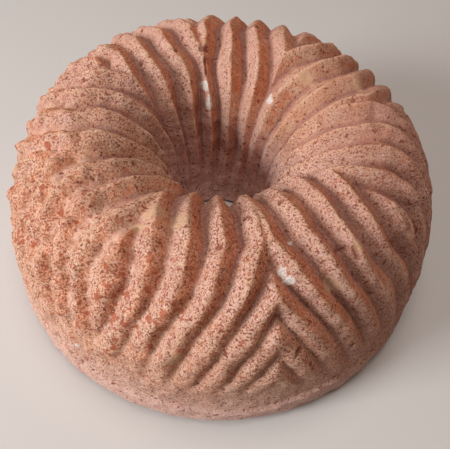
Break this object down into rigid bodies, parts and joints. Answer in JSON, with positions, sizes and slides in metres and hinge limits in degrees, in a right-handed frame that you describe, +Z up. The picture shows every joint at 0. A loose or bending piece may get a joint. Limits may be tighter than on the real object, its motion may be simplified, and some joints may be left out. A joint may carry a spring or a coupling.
{
  "type": "bundt cake",
  "caption": "Ring-shaped cake baked in a fluted mould, with swirling ridges over its crown, a smooth lower wall and a flat base.",
  "frame": {"origin": "the middle of the cake's hole, on the flat surface that the cake stands on", "axes": "+Z up along the axis of the ring; X and Y lie in the base, and the camera of the picture looks roughly along +Y and down"},
  "size_m": [0.2406, 0.2413, 0.0995],
  "materials": {
    "crust": "matt browned cake crust with fine dark specks, darker in the hollows of the flutes"
  },
  "bodies": {
    "root": {"cake": "crust"}
  },
  "joints": []
}
